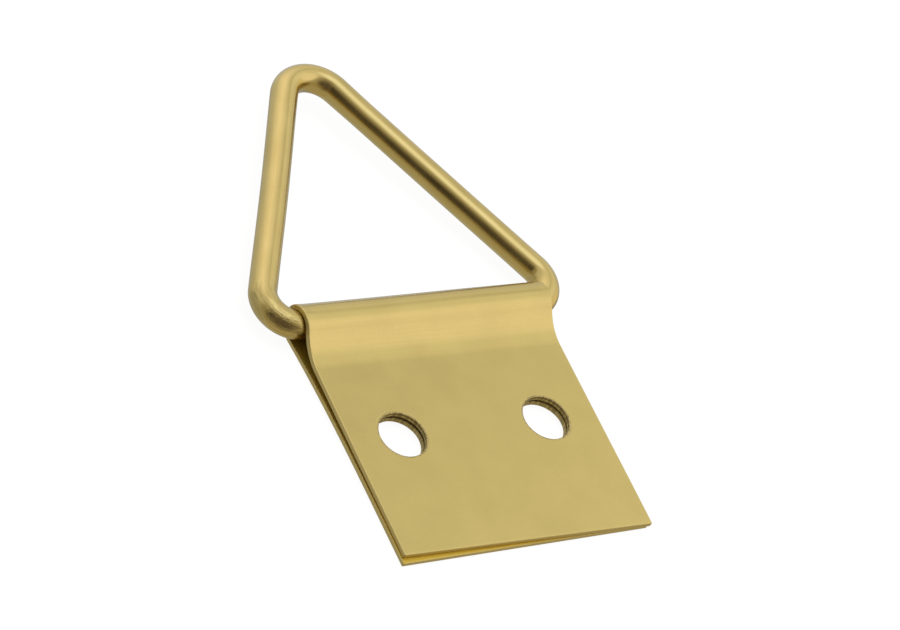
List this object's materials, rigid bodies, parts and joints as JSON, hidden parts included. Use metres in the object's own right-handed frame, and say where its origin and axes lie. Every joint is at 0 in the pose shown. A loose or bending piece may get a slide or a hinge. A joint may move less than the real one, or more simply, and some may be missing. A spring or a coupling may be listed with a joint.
{
  "type": "picture hanger",
  "caption": "Screw-on picture hanger: a brass strip folded double round the base of a triangular wire ring, which swings in the fold.",
  "frame": {"origin": "midway between the two screw holes, on the strap's back face", "axes": "+X across the strap, +Y from the strap's free ends towards the ring's tip, +Z out of the strap's front; the hinge axis runs along X"},
  "size_m": [0.025, 0.0404, 0.0033],
  "materials": {
    "strap_brass": "satin rolled sheet with a faint grain along the strip and greyer sheared edges",
    "wire_brass": "drawn wire, satin to semi-bright, with fine lengthwise draw marks"
  },
  "bodies": {
    "strap": {"folded_strap": "strap_brass"},
    "ring": {"wire_triangle": "wire_brass"}
  },
  "joints": [
    {"name": "ring_swing", "type": "hinge", "parent": "strap", "child": "ring", "pos_m": [0, 0.0093, 0.0015], "axis": [1, 0, 0], "range_deg": [-147, 167]}
  ]
}
